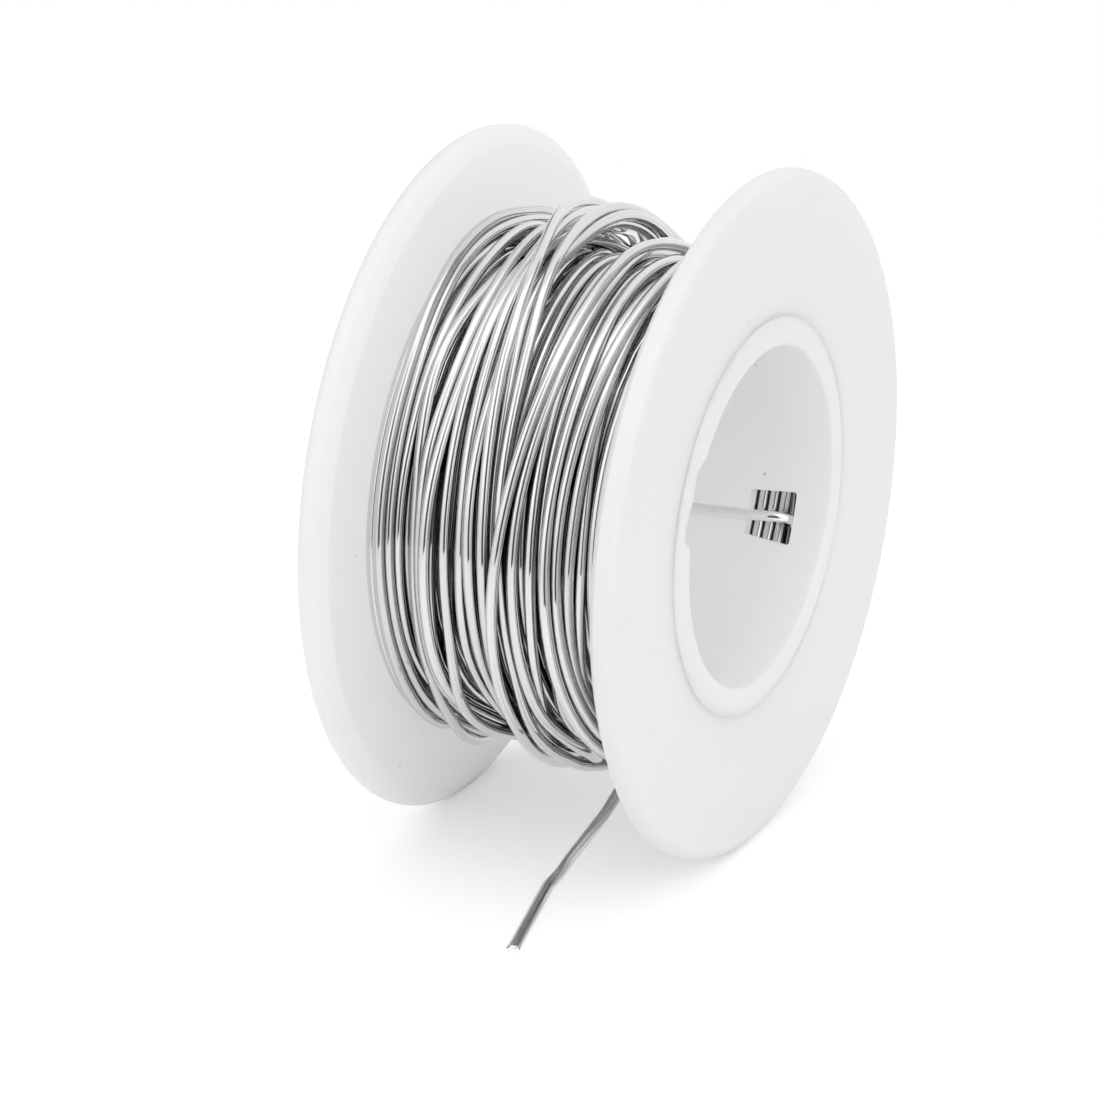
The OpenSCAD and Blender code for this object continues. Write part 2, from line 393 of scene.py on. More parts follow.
def wire_route():
    """Every ring centre of the wire from its inner end to its outer end."""
    x, hidden = places_along()
    radius = laid(x, least_radius(len(x)))
    angle = math.radians(START_DEG) + np.arange(len(x)) * 2 * math.pi / BINS
    wound = np.stack([x, -radius * np.cos(angle), AXLE + radius * np.sin(angle)], axis=1)[1:]
    unseen = np.arange(SEEN_TURNS * BINS, hidden - BINS, HIDDEN_STRIDE)
    seen_again = np.arange(hidden - BINS, len(wound))
    wound = wound[np.concatenate([np.arange(SEEN_TURNS * BINS), unseen, seen_again])]
    inner = spline(list(INNER_ROUTE) + [wound[0]], SPACING)[:-1]
    outer = spline([wound[-2], wound[-1]] + list(OUTER_ROUTE), SPACING)
    # the first space of the outer end belongs to the winding
    known = int(round(np.linalg.norm(wound[-1] - wound[-2]) / SPACING)) + 1
    return np.vstack([inner, wound, outer[known:]])


# ---------------------------------------------------------------- the wire

SIDES = 12
# How closed in the skin is by other turns, which sets the painted shade between them: how far off
# they count, which steps of the route are the same strand, and the range in which it darkens the
# skin.
CLOSING_IN, OWN_STEPS = 1.7, 3
GAP_FROM, GAP_TO = 0.45, 1.7
# The inner end has painted shade lines along its upper and lower sides, set against a fixed up
# direction: how long they are, which way is up, and from how upright the line starts and in what
# it becomes full.
EDGE_SHADE_LENGTH = 15
EDGE_SHADE_UP = (0.1571, -0.3294, 0.9311)
EDGE_SHADE_FROM, EDGE_SHADE_OVER = 0.76, 0.18
# Along the bench the soft wire is a little flattened, and its end is nipped off. For each, in
# mm from the end: where it starts and over how much it grows. Then the width and height of both.
FLAT_START, FLAT_OVER, FLAT_WIDE, FLAT_LOW = 13, 3, 0.16, 0.06
NIP_START, NIP_CURVE, NIP_WIDE, NIP_LOW = 0.9, 1.5, 0.1, 0.5


def across(route):
    """Two unit directions square to the route at each point, turned as little as possible."""
    ahead = np.gradient(route, axis=0)
    ahead /= np.linalg.norm(ahead, axis=1)[:, None]
    side = np.zeros_like(route)
    side[0] = np.cross(ahead[0], (0, 0, 1))
    side[0] /= np.linalg.norm(side[0])
    for i in range(1, len(route)):
        s = side[i - 1] - ahead[i] * np.dot(side[i - 1], ahead[i])
        side[i] = s / np.linalg.norm(s)
    return side, np.cross(ahead, side)


def lengths_along(route):
    """Length of the route from its first point to each point."""
    return np.concatenate([[0], np.cumsum(np.linalg.norm(np.diff(route, axis=0), axis=1))])


def new_object(name, verts, faces):
    mesh = bpy.data.meshes.new(name)
    mesh.from_pydata(verts, [], faces)
    mesh.validate()
    obj = bpy.data.objects.new(name, mesh)
    bpy.context.scene.collection.objects.link(obj)
    return obj


def gaps_between(route, ring):
    """How closed in each point of the wire's skin is by the turns beside and over it, for the
    painted shade between them; on the inner end it holds painted shade lines instead.
    """
    dense = np.vstack([route[:-1] + (route[1:] - route[:-1]) * t for t in (0.0, 1 / 3, 2 / 3)])
    owner = np.tile(np.arange(len(route) - 1), 3)
    tree = KDTree(len(dense))
    for i, p in enumerate(dense):
        tree.insert(p, i)
    tree.balance()
    closed = np.zeros(ring.shape[:2])
    for i, middle in enumerate(route):
        found = tree.find_range(middle, CLOSING_IN)
        near = [j for _, j, _ in found if abs(owner[j] - i) > OWN_STEPS]
        if not near:
            continue
        to = dense[near][None, :, :] - ring[i][:, None, :]
        far = np.linalg.norm(to, axis=2)
        facing = np.einsum("kjc,kc->kj", to, (ring[i] - middle) / (WIRE / 2)) / far
        fading = (WIRE / 2 / np.maximum(far, WIRE / 2)) ** 2
        closed[i] = (np.maximum(facing, 0) * fading).sum(axis=1)
    # painted shade lines along the upper and lower sides of the inner end
    for i in range(int(EDGE_SHADE_LENGTH / SPACING)):
        upright = np.abs((ring[i] - route[i]) @ np.array(EDGE_SHADE_UP)) / (WIRE / 2)
        line = np.clip((upright - EDGE_SHADE_FROM) / EDGE_SHADE_OVER, 0, 1)
        closed[i] = GAP_FROM + (GAP_TO - GAP_FROM) * line
    return closed


def wire_rings(route):
    """The points around the wire at each point of its route."""
    side, up = across(route)
    turn = (2 * math.pi * np.arange(SIDES) / SIDES)[None, :, None]
    offset = WIRE / 2 * (np.cos(turn) * side[:, None, :] + np.sin(turn) * up[:, None, :])
    togo = lengths_along(route[::-1])[::-1]
    flat = np.clip((FLAT_START - togo) / FLAT_OVER, 0, 1)
    nip = np.clip(1 - togo / NIP_START, 0, 1) ** NIP_CURVE
    offset[:, :, :2] *= (1 + FLAT_WIDE * flat + NIP_WIDE * nip)[:, None, None]
    offset[:, :, 2] *= (1 - FLAT_LOW * flat - NIP_LOW * nip)[:, None]
    return route[:, None, :] + offset


def build_wire():
    """The whole wire as one tube, with a cut at each end."""
    route = wire_route()
    ring = wire_rings(route)
    count = len(route)
    k = np.arange(SIDES)
    nxt = (k + 1) % SIDES
    a = (np.arange(count - 1) * SIDES)[:, None]
    quads = np.stack([a + k, a + nxt, a + SIDES + nxt, a + SIDES + k], axis=2).reshape(-1, 4)
    faces = quads.tolist()
    faces.append(list(range(SIDES - 1, -1, -1)))
    faces.append(list(range((count - 1) * SIDES, count * SIDES)))
    obj = new_object("solder_wire", (ring.reshape(-1, 3) * MM).tolist(), faces)
    mesh = obj.data
    mesh.polygons.foreach_set("use_smooth", [True] * (len(faces) - 2) + [False] * 2)
    gap = mesh.attributes.new("gap", "FLOAT", "POINT")
    gap.data.foreach_set("value", gaps_between(route, ring).ravel())
    # the UV map holds millimetres along the wire and the share of the way round it
    along = lengths_along(route)
    loop_u = np.stack([along[:-1], along[:-1], along[1:], along[1:]], axis=1)[:, None, :]
    loop_v = np.stack([k, k + 1, k + 1, k], axis=1)[None, :, :] / SIDES
    loop_uv = np.stack(np.broadcast_arrays(loop_u, loop_v), axis=3).reshape(-1, 2)
    caps = np.zeros((2 * SIDES, 2))
    uv = mesh.uv_layers.new(name="wire")
    uv.data.foreach_set("uv", np.vstack([loop_uv, caps]).ravel())
    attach(obj, "root")
    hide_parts("wire_winding", "wire_outer_tail", "wire_inner_tail")
    return obj


wire = build_wire()

# ---------------------------------------------------------------- the three mouldings, in mm

AROUND = 240  # steps round a flange
FLANGE_R, FLANGE_T = 24.0, 2.1
RIM_ROUND, BEVEL_H, BEVEL_X = 0.9, 1.2, 0.8
BEVEL_ROUND = (0.25, 0.18)
BORE_R, WALL, LIP_T = 11.9, 1.0, 0.7
FIT_GAP = 0.03
INNER_X = 9.7
OUTER_X = INNER_X + FLANGE_T
HUB_R = BORE_R + WALL
# A flange's outer face: its flat land, then a dish that is deepest at one radius and comes up
# again to the seam beside the lip. It goes on a little under the lip, so that no gap shows.
LAND_W, DISH = 2.4, 0.26
LAND_R = FLANGE_R - RIM_ROUND - LAND_W
DISH_FROM = 16.6
DISH_STEPS = 36
SEAM_R, SEAM_LOW = 13.9, 0.11
SEAT_IN, SEAT_LOW = 0.05, 0.01
# The lip stands out past the land and runs softly down to the seam: (distance from it, depth).
LIP_UP, MOUTH_ROUND = 0.2, 0.3
LIP_SOFT = (
    (1.2, -0.2), (1.0, -0.192), (0.8, -0.165), (0.6, -0.115), (0.45, -0.065), (0.3, -0.005),
    (0.18, 0.045), (0.08, 0.088), (0.0, 0.11),
)
# points along the bore's wall, so that the dent and the window have material to shape
WALL_X = (11.5, 11.3, 11.1, 10.9, 10.7, 10.5, 10.3, 10.1)
# The dent in the front lip: degrees above the axle's level and how far it is pressed in. It
# fades out towards NOTCH_OUT and NOTCH_X, and also widens the mouth a little.
DENT = (
    (9.4, 0.0), (11.8, 0.4), (14.3, 0.38), (20.0, 0.28), (25.8, 0.19), (33.6, 0.28), (39.4, 0.0),
)
NOTCH_OUT, NOTCH_FADE_R = 13.1, 0.7
NOTCH_X, NOTCH_FADE_X = 10.3, 1.0
NOTCH_WIDENS = 0.6
# The window: (along the bore, up, rounding), how far in and out it is cut, and its place.
WINDOW = ((5.8, -1.6, 0.2), (9.3, -1.9, 0.2), (9.3, 1.9, 0.2), (5.8, 1.6, 0.2))
WINDOW_CUT = (6, 16)
WINDOW_TURN = math.radians(-22.3)
SHARP = math.radians(38)


def rounded(corners):
    """A closed outline from (radius, along, corner radius) corners, each corner rounded."""
    out = []
    n = len(corners)
    for i, (cr, cx, fillet) in enumerate(corners):
        here = Vector((cr, cx))
        if fillet <= 0:
            out.append(here)
            continue
        a = (Vector(corners[i - 1][:2]) - here).normalized()
        b = (Vector(corners[(i + 1) % n][:2]) - here).normalized()
        half = a.angle(b) / 2
        reach = fillet / math.tan(half)
        middle = here + (a + b).normalized() * (fillet / math.sin(half))
        start, end = here + a * reach - middle, here + b * reach - middle
        sweep = math.atan2(start.x * end.y - start.y * end.x, start.dot(end))
        steps = max(2, min(10, int(3 + fillet * 8)))
        for s in range(steps + 1):
            ct, st = math.cos(sweep * s / steps), math.sin(sweep * s / steps)
            out.append(middle + Vector((start.x * ct - start.y * st, start.x * st + start.y * ct)))
    return out


def closed_object(name, verts, faces):
    """A solid whose faces all look outwards."""
    obj = new_object(name, verts, faces)
    work = bmesh.new()
    work.from_mesh(obj.data)
    bmesh.ops.recalc_face_normals(work, faces=work.faces)
    work.to_mesh(obj.data)
    work.free()
    return obj


def turned(name, outline, around=AROUND, push=None):
    """A solid turned round the bore's axis from a closed outline of (radius, x)."""
    verts, faces = [], []
    n = len(outline)
    for s in range(around):
        t = 2 * math.pi * s / around
        for p in outline:
            out, along = push(p.x, p.y, t) if push else (0, 0)
            r = p.x + out
            place = (p.y + along, -r * math.cos(t), AXLE + r * math.sin(t))
            verts.append(tuple(v * MM for v in place))
    for s in range(around):
        a, b = s * n, ((s + 1) % around) * n
        for i in range(n):
            j = (i + 1) % n
            faces.append((a + i, a + j, b + j, b + i))
    return closed_object(name, verts, faces)


def low_at(r):
    """Depth of a flange's outer face below the rim's land."""
    out = min(max((r - DISH_FROM) / (LAND_R - DISH_FROM), 0), 1)
    near = min(max((DISH_FROM - r) / (DISH_FROM - SEAM_R), 0), 1)
    low = DISH * (1 + math.cos(math.pi * out)) / 2
    low -= (DISH - SEAM_LOW) * near * near * (3 - 2 * near)
    return low + SEAT_LOW * max(SEAM_R - r, 0) / SEAT_IN


def flange_outline(side):
    """Outline of a flange: its inner face, bevelled rim, flat land, dish and seat on the tube."""
    hole = HUB_R + FIT_GAP
    seat = SEAM_R - SEAT_IN
    dish = [LAND_R + (seat - LAND_R) * i / DISH_STEPS for i in range(1, DISH_STEPS + 1)]
    corners = [
        (hole, 0, 0),
        (FLANGE_R - BEVEL_H, 0, BEVEL_ROUND[0]),
        (FLANGE_R, BEVEL_X, BEVEL_ROUND[1]),
        (FLANGE_R, FLANGE_T, RIM_ROUND),
        (LAND_R, FLANGE_T, 0),
        *((r, FLANGE_T - low_at(r), 0) for r in dish),
        (seat, FLANGE_T - LIP_T, 0),
        (hole, FLANGE_T - LIP_T, 0),
    ]
    return [Vector((p.x, side * (INNER_X + p.y))) for p in rounded(corners)]


def tube_outline():
    """Outline of the hub tube with its two formed lips, which run softly down to the flanges."""
    corners = []
    for side in (-1, 1):
        end = [
            (BORE_R, side * (OUTER_X + LIP_UP), MOUTH_ROUND),
            *((SEAM_R - d, side * (OUTER_X - low), 0) for d, low in LIP_SOFT),
            (SEAM_R, side * (OUTER_X - LIP_T), 0),
            (HUB_R, side * (OUTER_X - LIP_T), 0),
        ]
        corners += end if side < 0 else end[::-1]
    outline = rounded(corners)
    start = next(i for i, p in enumerate(outline) if p.y > 0 and abs(p.x - BORE_R) < 1e-6)
    wall = [Vector((BORE_R, x)) for x in WALL_X]
    return outline[: start + 1] + wall + outline[start + 1 :]


def notch_push(r, x, t):
    """How far the mouth is pressed out and along the bore at the dent in the front lip."""
    if r > NOTCH_OUT or x < NOTCH_X:
        return 0.0, 0.0
    deep = float(np.interp(math.degrees(t), *zip(*DENT), left=0, right=0))
    fade = min(max((NOTCH_OUT - r) / NOTCH_FADE_R, 0), 1) * min((x - NOTCH_X) / NOTCH_FADE_X, 1)
    return NOTCH_WIDENS * deep * fade, -deep * fade


def window_block():
    """The block that cuts the window: its outline pushed out along the radius."""
    points = rounded(WINDOW)
    turn = Matrix.Rotation(WINDOW_TURN, 3, "X")
    verts = []
    for depth in WINDOW_CUT:
        for point in points:
            p = turn @ Vector((point.x, depth, point.y))
            verts.append((p.x * MM, p.y * MM, (p.z + AXLE) * MM))
    n = len(points)
    faces = [tuple(range(n)), tuple(range(2 * n - 1, n - 1, -1))]
    faces += [(i, (i + 1) % n, (i + 1) % n + n, i + n) for i in range(n)]
    return closed_object("window", verts, faces)


def cut(obj, tool):
    """Cuts tool out of obj and deletes it."""
    change = obj.modifiers.new("cut", "BOOLEAN")
    change.operation, change.solver, change.object = "DIFFERENCE", "EXACT", tool
    graph = bpy.context.evaluated_depsgraph_get()
    mesh = bpy.data.meshes.new_from_object(obj.evaluated_get(graph))
    obj.modifiers.clear()
    obj.data = mesh
    bpy.data.objects.remove(tool)


def finish_moulding(obj, node):
    """Shades a moulding smooth but for its sharp edges, and puts it in its node's place."""
    obj.data.polygons.foreach_set("use_smooth", [True] * len(obj.data.polygons))
    obj.data.set_sharp_from_angle(angle=SHARP)
    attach(obj, "root")
    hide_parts(node)


def build_spool():
    front = turned("front_flange_moulding", flange_outline(1))
    back = turned("back_flange_moulding", flange_outline(-1))
    tube = turned("hub_tube_moulding", tube_outline(), 2 * AROUND, notch_push)
    cut(tube, window_block())
    finish_moulding(front, "front_flange")
    finish_moulding(back, "back_flange")
    finish_moulding(tube, "hub_tube")
    return front, back, tube


front_flange, back_flange, hub_tube = build_spool()

# ---------------------------------------------------------------- materials

WHITE = (1, 1, 1, 1)


class Nodes:
    """A small helper that adds and links the nodes of one shader tree."""

    def __init__(self, tree):
        self.tree = tree

    def feed(self, socket, value):
        """Links an output to a socket, or sets the socket's own value."""
        if isinstance(value, bpy.types.NodeSocket):
            self.tree.links.new(value, socket)
        else:
            socket.default_value = value

    def add(self, kind, **values):
        """A node with its properties set, and its inputs fed, by name with _ for a space."""
        node = self.tree.nodes.new(kind)
        for key, value in values.items():
            if hasattr(node, key):
                setattr(node, key, value)
            else:
                self.feed(node.inputs[key.replace("_", " ")], value)
        return node

    def coordinates(self):
        return self.add("ShaderNodeTexCoord").outputs["Object"]

    def parts(self, vector):
        return self.add("ShaderNodeSeparateXYZ", Vector=vector).outputs

    def scaled(self, vector, scale):
        return self.add("ShaderNodeMapping", Vector=vector, Scale=scale).outputs["Vector"]

    def noise(self, vector, scale, detail, roughness):
        node = self.add(
            "ShaderNodeTexNoise", Vector=vector, Scale=scale, Detail=detail, Roughness=roughness
        )
        return node.outputs["Fac"]

    def ramp(self, value, low, high, to_low, to_high, smooth=False):
        node = self.add(
            "ShaderNodeMapRange",
            interpolation_type="SMOOTHSTEP" if smooth else "LINEAR",
            Value=value,
            From_Min=low,
            From_Max=high,
            To_Min=to_low,
            To_Max=to_high,
        )
        return node.outputs["Result"]

    def math(self, how, *values):
        node = self.add("ShaderNodeMath", operation=how)
        for socket, value in zip(node.inputs, values):
            self.feed(socket, value)
        return node.outputs["Value"]

    def vector(self, how, *values):
        node = self.add("ShaderNodeVectorMath", operation=how)
        for socket, value in zip(node.inputs, values):
            self.feed(socket, value)
        return node.outputs["Value" if how in ("DISTANCE", "LENGTH") else "Vector"]

    def mix(self, factor, a, b):
        node = self.add("ShaderNodeMix", data_type="RGBA", Factor=factor)
        for socket, value in ((node.inputs[6], a), (node.inputs[7], b)):
            self.feed(socket, (*value, 1) if isinstance(value, tuple) else value)
        return node.outputs[2]

    def bump(self, height, strength, distance, after=None):
        node = self.add("ShaderNodeBump", Strength=strength, Distance=distance, Height=height)
        if after is not None:
            self.feed(node.inputs["Normal"], after)
        return node.outputs["Normal"]


def new_material(name):
    """A material with nodes, the helper for its tree, and the inputs of its shader."""
    material = bpy.data.materials.new(name)
    material.use_nodes = True
    tree = material.node_tree
    return material, Nodes(tree), tree.nodes["Principled BSDF"].inputs


# Painted shade: the dark colour between the strands fades out towards the winding's lit top and is
# weaker under it: the heights over the bench, in metres, over which it does.
SHADE_FADES_TOP = (0.031, 0.036)
SHADE_WEAKER_LOW = (0.014, 0.021)
INNER_END = (15, 19)  # mm along the wire over which the inner end's paler colour, a painted reflection, runs out


def solder_material():
    """Bright drawn solder: faint lines along the wire, slightly dull patches and small rubs,
    painted shade between the turns and a paler inner end that is a painted reflection.
    """
    material, n, shader = new_material("solder_drawn")
    uv = n.add("ShaderNodeUVMap", uv_map="wire").outputs["UV"]
    lines = n.noise(n.scaled(uv, (0.03, 14, 1)), 1.0, 2, 0.5)
    patches = n.noise(n.scaled(uv, (0.10, 1.2, 1)), 1.0, 3, 0.6)
    drift = n.noise(n.scaled(uv, (0.013, 0.3, 1)), 1.0, 2, 0.5)
    place = n.coordinates()
    grain = n.noise(place, 2600, 3, 0.6)
    shade = n.mix(n.ramp(drift, 0.35, 0.65, 0, 1, True), (0.80, 0.80, 0.80), (0.66, 0.66, 0.662))
    shade = n.mix(n.ramp(patches, 0.35, 0.7, 0, 0.5, True), shade, (0.66, 0.66, 0.662))
    shade = n.mix(n.ramp(lines, 0.4, 0.7, 0, 0.35), shade, (0.56, 0.56, 0.562))
    # painted shade: a dark colour where other turns close the strand in, fading out on the lit top
    # of the winding and weaker low down
    gap = n.add("ShaderNodeAttribute", attribute_name="gap").outputs["Fac"]
    height = n.parts(place)["Z"]
    shade_fades_on_top = n.ramp(height, *SHADE_FADES_TOP, 1, 0.12)
    under = n.ramp(height, *SHADE_WEAKER_LOW, 0.65, 1)
    painted_shade = n.ramp(gap, GAP_FROM, GAP_TO, 0, 0.65, True)
    painted_shade = n.math("MULTIPLY", painted_shade, n.math("MULTIPLY", shade_fades_on_top, under))
    shade = n.mix(painted_shade, shade, (0.10, 0.10, 0.10))
    # painted reflection: the inner end's colour is made paler so that it shines brighter
    pale = n.ramp(n.parts(uv)["X"], *INNER_END, 0.8, 0)
    n.feed(shader["Base Color"], n.mix(pale, shade, (0.95, 0.95, 0.95)))
    shader["Metallic"].default_value = 1.0
    dull = n.ramp(patches, 0.3, 0.75, 0.045, 0.1)
    n.feed(shader["Roughness"], n.math("ADD", dull, n.ramp(grain, 0.3, 0.7, 0.0, 0.02)))
    fine = n.bump(lines, 0.14, 0.00001)
    n.feed(shader["Normal"], n.bump(grain, 0.1, 0.000006, fine))
    return material


# In metres: how far from the reel's middle the tube's ends are painted paler, as painted light
# coming through, and the radii from the bore's face into its wall where that shows. Then the
# middle of the darker line along the seam.
THIN_ENDS = (0.0072, 0.0112)
BORE_SKIN = (0.01188, 0.01205)
SEAM_DARK_R = (SEAM_R + 0.08) * MM


def plastic_material(name, tone, seed, depth, reach, marks, thin=0.0):
    """White moulded plastic with a fine skin, faint flow, specks, marks and a darker line along
    the seam.

    depth and reach say how translucent it is, and thin how much the ends of the tube's wall are
    painted paler, as painted light coming through.
    """
    material, n, shader = new_material(name)
    here = n.coordinates()
    shift = n.add("ShaderNodeMapping", Location=(seed, seed * 0.37, -seed), Vector=here)
    place = shift.outputs["Vector"]
    cloud = n.noise(place, 60, 3, 0.5)
    flow = n.noise(n.scaled(place, (1, 1, 0.35)), 260, 4, 0.6)
    skin = n.noise(place, 5200, 2, 0.5)
    base = n.mix(n.ramp(cloud, 0.3, 0.7, 0, 1, True), tone, tuple(c * 0.975 for c in tone))
    base = n.mix(n.ramp(flow, 0.45, 0.75, 0, 0.5), base, tuple(c * 0.985 for c in tone))
    # a few specks in the plastic
    dots = n.add("ShaderNodeTexVoronoi", Scale=210, Vector=place).outputs
    pick = n.add("ShaderNodeSeparateColor", Color=dots["Color"]).outputs["Red"]
    speck = n.ramp(dots["Distance"], 0.02, 0.055, 1, 0, True)
    speck = n.math("MULTIPLY", speck, n.ramp(pick, 0.955, 0.96, 0, 1))
    base = n.mix(n.math("MULTIPLY", speck, 0.6), base, (0.36, 0.35, 0.33))
    for centre, size, dark in marks:
        away = n.vector("DISTANCE", here, [c * MM for c in centre])
        spot = n.ramp(away, 0.3 * size * MM, size * MM, dark, 0, True)
        base = n.mix(spot, base, (0.2, 0.2, 0.2))
    # the distance from the bore's axis
    about = n.vector("SUBTRACT", here, (0, 0, AXLE * MM))
    off = n.vector("LENGTH", n.vector("MULTIPLY", about, (0, 1, 1)))
    # painted light: the colour is made paler where light would come through the thin ends of the
    # tube's wall
    through = n.ramp(n.math("ABSOLUTE", n.parts(here)["X"]), *THIN_ENDS, 0, thin, True)
    inside = n.ramp(off, *BORE_SKIN, 1, 0, True)
    base = n.mix(n.math("MULTIPLY", through, inside), base, (0.97, 0.97, 0.968))
    # the colour is darker in a ragged, uneven line along the seam round the bore's lip
    ragged = n.ramp(n.noise(place, 1900, 4, 0.7), 0.2, 0.8, -0.0003, 0.0003)
    from_seam = n.math("SUBTRACT", n.math("ADD", off, ragged), SEAM_DARK_R)
    seam_dark = n.ramp(n.math("ABSOLUTE", from_seam), 0.00004, 0.00045, 1, 0, True)
    uneven = n.ramp(n.noise(place, 150, 2, 0.5), 0.42, 0.66, 0.1, 1, True)
    seam_dark = n.math("MULTIPLY", n.math("MULTIPLY", seam_dark, uneven), 0.2)
    n.feed(shader["Base Color"], n.mix(seam_dark, base, (0.45, 0.45, 0.445)))
    scuff = n.noise(n.scaled(place, (1, 2.5, 0.4)), 700, 5, 0.7)
    n.feed(shader["Roughness"], n.ramp(scuff, 0.35, 0.7, 0.40, 0.52))
    shader["Subsurface Weight"].default_value = depth
    shader["Subsurface Radius"].default_value = (reach, reach, reach * 0.98)
    shader["Subsurface Scale"].default_value = 1.0
    shader["IOR"].default_value = 1.46
    shader["Specular IOR Level"].default_value = 0.4
    wavy = n.bump(flow, 0.12, 0.00004, n.bump(cloud, 0.25, 0.00015))
    n.feed(shader["Normal"], n.bump(skin, 0.1, 0.000012, wavy))
    return material


# small dark marks on the mouldings: centre in mm, size, how dark
FRONT_MARKS = (
    ((11.62, -18.56, 39.74), 0.35, 0.10),
    ((11.62, -9.24, 50.00), 0.16, 0.25),
    ((11.62, -2.04, 38.80), 0.30, 0.10),
    ((11.62, -0.57, 38.60), 0.25, 0.12),
    ((11.62, 12.16, 30.48), 0.22, 0.12),
    ((11.62, -11.14, 19.03), 0.20, 0.10),
    ((11.62, 11.92, 13.14), 0.20, 0.10),
)
BACK_MARKS = (
    ((-9.70, -8.97, 7.49), 0.12, 0.50),
    ((-9.70, -12.66, 6.37), 0.22, 0.25),
    ((-9.70, -18.83, 24.23), 0.16, 0.35),
    ((-9.70, -26.62, 35.32), 0.16, 0.20),
    ((-9.70, -6.28, 45.30), 0.20, 0.18),
)
HUB_MARKS = (
    ((6.72, 11.76, 22.18), 0.13, 0.70),
    ((6.97, 9.55, 31.09), 0.20, 0.35),
)
# name, tone, seed, how translucent and how deep, marks, and painted light through the thin ends
FRONT_LOOK = ("flange_white_front", (0.845, 0.845, 0.843), 0.11, 0.35, 0.003, FRONT_MARKS)
# the back flange is the same plastic as the front one: its lower tone is painted shade
BACK_LOOK = ("flange_white_back_shaded", (0.80, 0.80, 0.798), 0.43, 0.9, 0.009, BACK_MARKS)
HUB_LOOK = ("hub_white", (0.875, 0.875, 0.873), 0.71, 0.15, 0.002, HUB_MARKS, 0.6)


def wear(obj, material):
    obj.data.materials.clear()
    obj.data.materials.append(material)


wear(wire, solder_material())
wire.visible_diffuse = False  # its shade on the plastic beside it would be too dark
wear(front_flange, plastic_material(*FRONT_LOOK))
wear(back_flange, plastic_material(*BACK_LOOK))
wear(hub_tube, plastic_material(*HUB_LOOK))

# ---------------------------------------------------------------- floor, light and studio

FLOOR_SIZE = 60
FLOOR_LIFT = 0.22  # light that only the camera's rays find in the floor
FLOOR_FADE = (0.045, 0.13)  # metres from the reel over which the floor runs into plain white
WORLD_LEVEL = 0.91


def seen_rays(n):
    """One for what the camera sees, by itself, in gloss or through glass, and zero for light."""
    rays = n.add("ShaderNodeLightPath").outputs
    seen = rays["Is Camera Ray"]
    for kind in ("Is Glossy Ray", "Is Transmission Ray"):
        seen = n.math("MAXIMUM", seen, rays[kind])
    return seen


def emission(n, strength):
    """White light of a fixed strength, only for the rays that the camera follows."""
    lit = n.math("MULTIPLY", seen_rays(n), strength)
    return n.add("ShaderNodeEmission", Color=WHITE, Strength=lit).outputs["Emission"]


def build_floor():
    """A wide pale floor that keeps the reel's shadow and runs into plain white away from it."""
    bpy.ops.mesh.primitive_plane_add(size=FLOOR_SIZE)
    floor = bpy.context.object
    floor.name = "floor"
    material, n, shader = new_material("floor_white")
    shader["Base Color"].default_value = (0.93, 0.93, 0.93, 1)
    shader["Roughness"].default_value = 0.9
    shader["Specular IOR Level"].default_value = 0.1
    lit = n.add("ShaderNodeAddShader")
    n.feed(lit.inputs[0], n.tree.nodes["Principled BSDF"].outputs["BSDF"])
    n.feed(lit.inputs[1], emission(n, FLOOR_LIFT))
    away = n.ramp(n.vector("LENGTH", n.coordinates()), *FLOOR_FADE, 0, 1, True)
    mix = n.add("ShaderNodeMixShader", Fac=n.math("MULTIPLY", seen_rays(n), away))
    n.feed(mix.inputs[1], lit.outputs[0])
    n.feed(mix.inputs[2], emission(n, 1.0))
    n.feed(n.tree.nodes["Material Output"].inputs["Surface"], mix.outputs[0])
    floor.data.materials.append(material)


def build_world():
    """An even white surround, plain white to the camera."""
    world = bpy.data.worlds.new("studio")
    bpy.context.scene.world = world
    world.use_nodes = True
    n = Nodes(world.node_tree)
    back = n.tree.nodes["Background"].inputs
    back["Color"].default_value = WHITE
    n.feed(back["Strength"], n.ramp(seen_rays(n), 0, 1, WORLD_LEVEL, 1.0))


def toward(azimuth, elevation):
    """Unit direction from the reel; azimuth 0 is its near side, + towards the front flange."""
    a, e = math.radians(azimuth), math.radians(elevation)
    return Vector((math.sin(a) * math.cos(e), -math.cos(a) * math.cos(e), math.sin(e)))


def add_lamp(name, azimuth, elevation, distance, size, watts):
    data = bpy.data.lights.new(name, "AREA")
    data.shape = "DISK"
    data.size = size
    data.energy = watts
    lamp = bpy.data.objects.new(name, data)
    bpy.context.scene.collection.objects.link(lamp)
    where = toward(azimuth, elevation)
    lamp.location = where * distance + Vector((0, 0, AXLE * MM))
    lamp.rotation_euler = where.to_track_quat("Z", "Y").to_euler()
    lamp.visible_camera = False
    lamp.visible_glossy = False


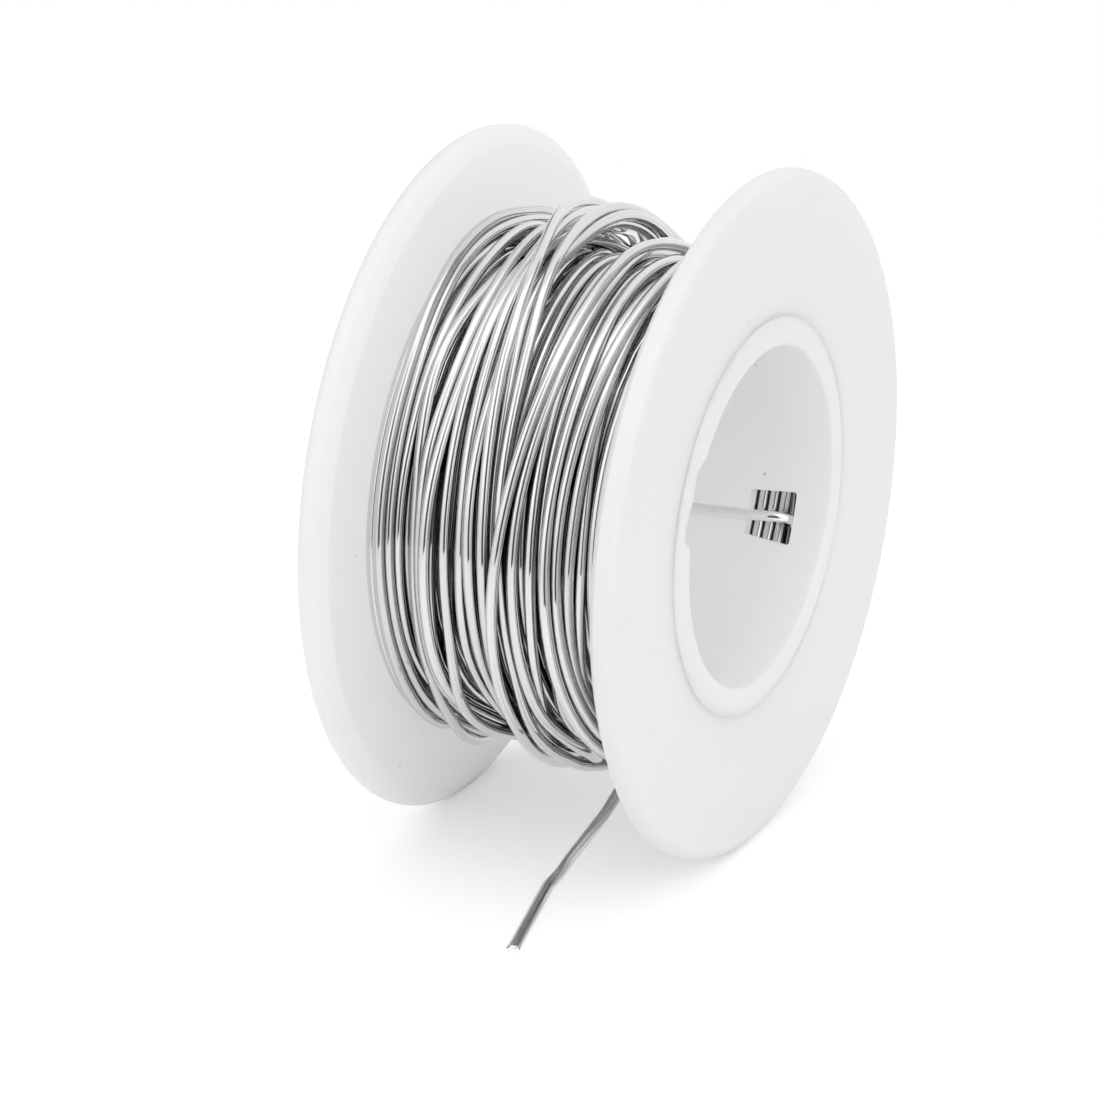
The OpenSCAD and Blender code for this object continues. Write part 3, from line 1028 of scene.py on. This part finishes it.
def add_card(name, azimuths, rows, soft):
    """A studio card that only gloss sees, bowed round the reel, with sides that fade to white.

    Each row is (distance from the axle in mm, height over the floor in mm, brightness).
    """
    cells = 24
    verts, faces, glow = [], [], []
    for distance, height, level in rows:
        for i in range(cells + 1):
            a = math.radians(azimuths[0] + (azimuths[1] - azimuths[0]) * i / cells)
            verts.append((distance * math.sin(a) * MM, -distance * math.cos(a) * MM, height * MM))
            t = min(1.0, min(i, cells - i) / cells * 2 / soft)
            glow.append(1 + (level - 1) * t * t * (3 - 2 * t))
    for j in range(len(rows) - 1):
        for i in range(cells):
            k = j * (cells + 1) + i
            faces.append((k, k + 1, k + cells + 2, k + cells + 1))
    card = new_object(name, verts, faces)
    card.data.attributes.new("glow", "FLOAT", "POINT").data.foreach_set("value", glow)
    for key in ("camera", "diffuse", "shadow", "transmission", "volume_scatter"):
        setattr(card, "visible_" + key, False)
    material, n, _ = new_material(name)
    n.tree.nodes.remove(n.tree.nodes["Principled BSDF"])
    level = n.add("ShaderNodeAttribute", attribute_name="glow").outputs["Fac"]
    shine = n.add("ShaderNodeEmission", Color=WHITE, Strength=level).outputs["Emission"]
    n.feed(n.tree.nodes["Material Output"].inputs["Surface"], shine)
    card.data.materials.append(material)


STRIP = (
    (88, 0.4, 0.10), (115, 0.4, 0.10), (152, 0.4, 0.10), (155, 30, 0.10), (150, 70, 0.13),
    (140, 110, 0.22), (120, 150, 0.5), (95, 180, 0.9), (85, 188, 1.0),
)
SIDE = (
    (84, 0.4, 0.55), (112, 0.4, 0.3), (160, 0.4, 0.2), (165, 30, 0.15), (160, 74, 0.15),
    (148, 116, 0.25), (127, 160, 0.6), (104, 184, 1.0),
)
BOX = (
    (300, 10, 1.0), (300, 40, 1.16), (295, 110, 1.36), (270, 190, 1.5), (220, 270, 1.5),
    (170, 320, 1.4),
)
TOP_BOX = (
    (340, 290, 1.0), (310, 350, 1.4), (220, 440, 1.55), (100, 490, 1.55), (20, 500, 1.55),
)
# name, degrees round the reel, rows, how much of the width fades
CARDS = (
    ("card_front_strip", (6, 44), STRIP, 0.3),
    ("card_front_left", (-44, 5), BOX, 0.2),
    ("card_front_right", (45, 94), BOX, 0.2),
    ("card_side_right", (95, 140), SIDE, 0.3),
    ("card_side_left", (-112, -46), SIDE, 0.3),
    ("card_back_strip", (211, 249), STRIP, 0.3),
    ("card_top", (-100, 140), TOP_BOX, 0.2),
)

# name, azimuth, elevation, distance and size in metres, watts
LAMPS = (
    ("key", 60, 36, 1.6, 1.3, 2.5),
    ("fill", -40, 45, 1.8, 1.4, 1),
)

build_floor()
build_world()
for lamp in LAMPS:
    add_lamp(*lamp)
for card in CARDS:
    add_card(*card)

bpy.context.scene.view_settings.view_transform = "Standard"
